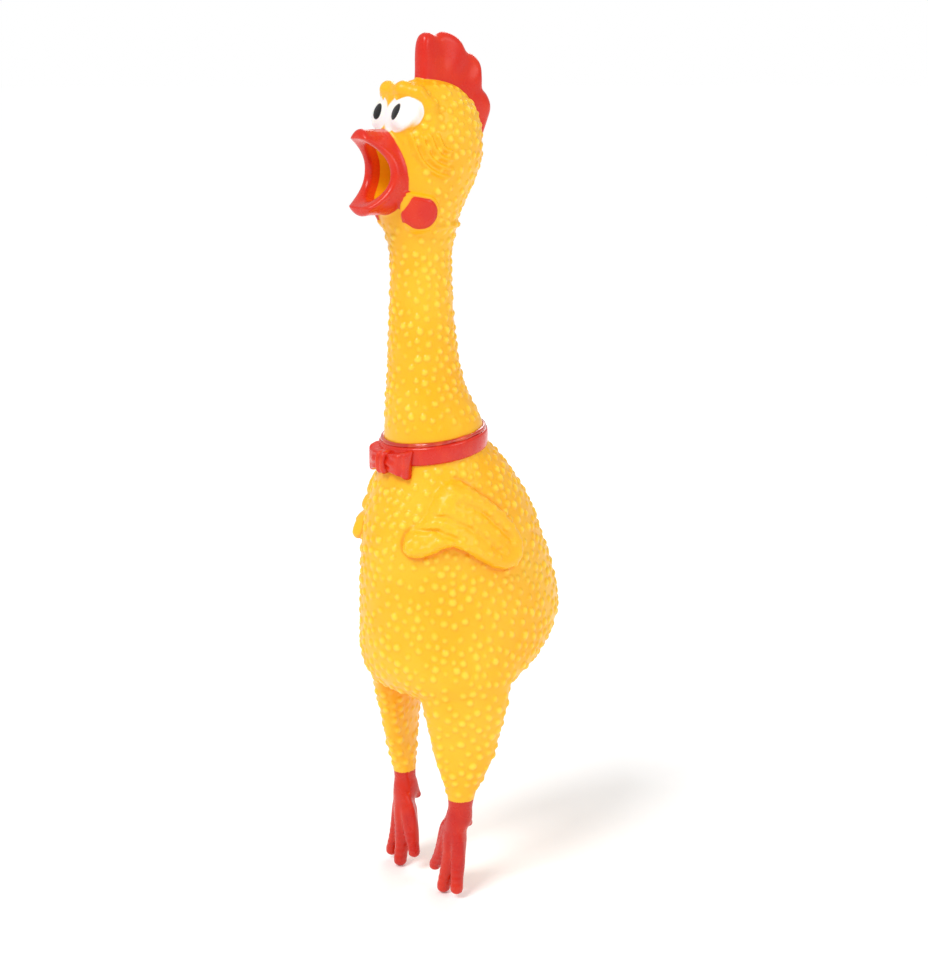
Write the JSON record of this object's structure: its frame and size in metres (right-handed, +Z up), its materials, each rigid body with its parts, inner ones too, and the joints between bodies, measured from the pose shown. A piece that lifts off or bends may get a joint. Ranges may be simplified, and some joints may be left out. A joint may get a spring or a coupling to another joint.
{
  "type": "rubber chicken",
  "caption": "Hollow soft-vinyl novelty chicken with a long neck, a wide open beak, a red collar with a bow tie, relief wings and dangling legs, and a reed squawker inside.",
  "frame": {"origin": "middle of the bounding box at the level of the longest toes' tips", "axes": "+Z up through the neck, -Y the way the chicken faces, +X its left side"},
  "size_m": [0.063, 0.0854, 0.3095],
  "materials": {
    "yellow_vinyl": "glossy soft vinyl, warm yellow, covered in raised bumps",
    "red_vinyl": "glossy red paint on soft vinyl",
    "white_paint": "sprayed white paint on soft vinyl",
    "black_paint": "gloss black paint",
    "clear_glue": "glossy set glue over red vinyl",
    "squawker_plastic": "moulded off-white plastic",
    "reed_film": "smooth translucent film"
  },
  "bodies": {
    "body": {"torso_shell": "yellow_vinyl", "wing_left": "yellow_vinyl", "wing_right": "yellow_vinyl", "collar_band": "red_vinyl", "bow_knot": "red_vinyl", "bow_loop_left": "red_vinyl", "bow_loop_right": "red_vinyl", "glue_bead": "clear_glue", "neck_base": "yellow_vinyl", "neck_fold_low": "yellow_vinyl", "hip_fold_left": "yellow_vinyl", "hip_fold_right": "yellow_vinyl", "squawker_housing": "squawker_plastic", "squawker_shallot": "squawker_plastic", "squawker_clamp": "squawker_plastic"},
    "neck": {"neck_middle": "yellow_vinyl", "neck_fold_high": "yellow_vinyl"},
    "head": {"head_shell": "yellow_vinyl", "mouth_lining": "yellow_vinyl", "beak": "red_vinyl", "comb": "red_vinyl", "wattle_left": "red_vinyl", "wattle_right": "red_vinyl", "eye_left": "white_paint", "eye_right": "white_paint", "pupil_left": "black_paint", "pupil_right": "black_paint"},
    "left_leg": {"leg_left": "yellow_vinyl", "ankle_fold_left": "yellow_vinyl"},
    "right_leg": {"leg_right": "yellow_vinyl", "ankle_fold_right": "yellow_vinyl"},
    "left_foot": {"foot_left": "red_vinyl"},
    "right_foot": {"foot_right": "red_vinyl"},
    "reed": {"squawker_reed": "reed_film"}
  },
  "joints": [
    {"name": "neck_nod", "type": "hinge", "parent": "body", "child": "neck", "pos_m": [0, -0.0153, 0.19], "axis": [1, 0, 0], "range_deg": [-40, 40], "stiffness_Nm_per_rad": 0.3, "deforming": ["neck_fold_low"]},
    {"name": "head_sway", "type": "hinge", "parent": "neck", "child": "head", "pos_m": [0, -0.0167, 0.222], "axis": [0, 1, 0], "range_deg": [-40, 40], "stiffness_Nm_per_rad": 0.25, "deforming": ["neck_fold_high"]},
    {"name": "hip_left", "type": "hinge", "parent": "body", "child": "left_leg", "pos_m": [0.0209, -0.0127, 0.0661], "axis": [1, 0, 0], "range_deg": [-35, 35], "stiffness_Nm_per_rad": 0.15, "deforming": ["hip_fold_left"]},
    {"name": "hip_right", "type": "hinge", "parent": "body", "child": "right_leg", "pos_m": [-0.0209, -0.0127, 0.0661], "axis": [1, 0, 0], "range_deg": [-35, 35], "stiffness_Nm_per_rad": 0.15, "deforming": ["hip_fold_right"]},
    {"name": "ankle_left", "type": "hinge", "parent": "left_leg", "child": "left_foot", "pos_m": [0.0189, -0.0127, 0.0407], "axis": [1, 0, 0], "range_deg": [-35, 35], "stiffness_Nm_per_rad": 0.06, "deforming": ["ankle_fold_left"]},
    {"name": "ankle_right", "type": "hinge", "parent": "right_leg", "child": "right_foot", "pos_m": [-0.0189, -0.0127, 0.0407], "axis": [1, 0, 0], "range_deg": [-35, 35], "stiffness_Nm_per_rad": 0.06, "deforming": ["ankle_fold_right"]},
    {"name": "reed_flutter", "type": "hinge", "parent": "body", "child": "reed", "pos_m": [0, -0.012, 0.17], "axis": [1, 0, 0], "range_deg": [0, 4], "stiffness_Nm_per_rad": 0.002}
  ]
}
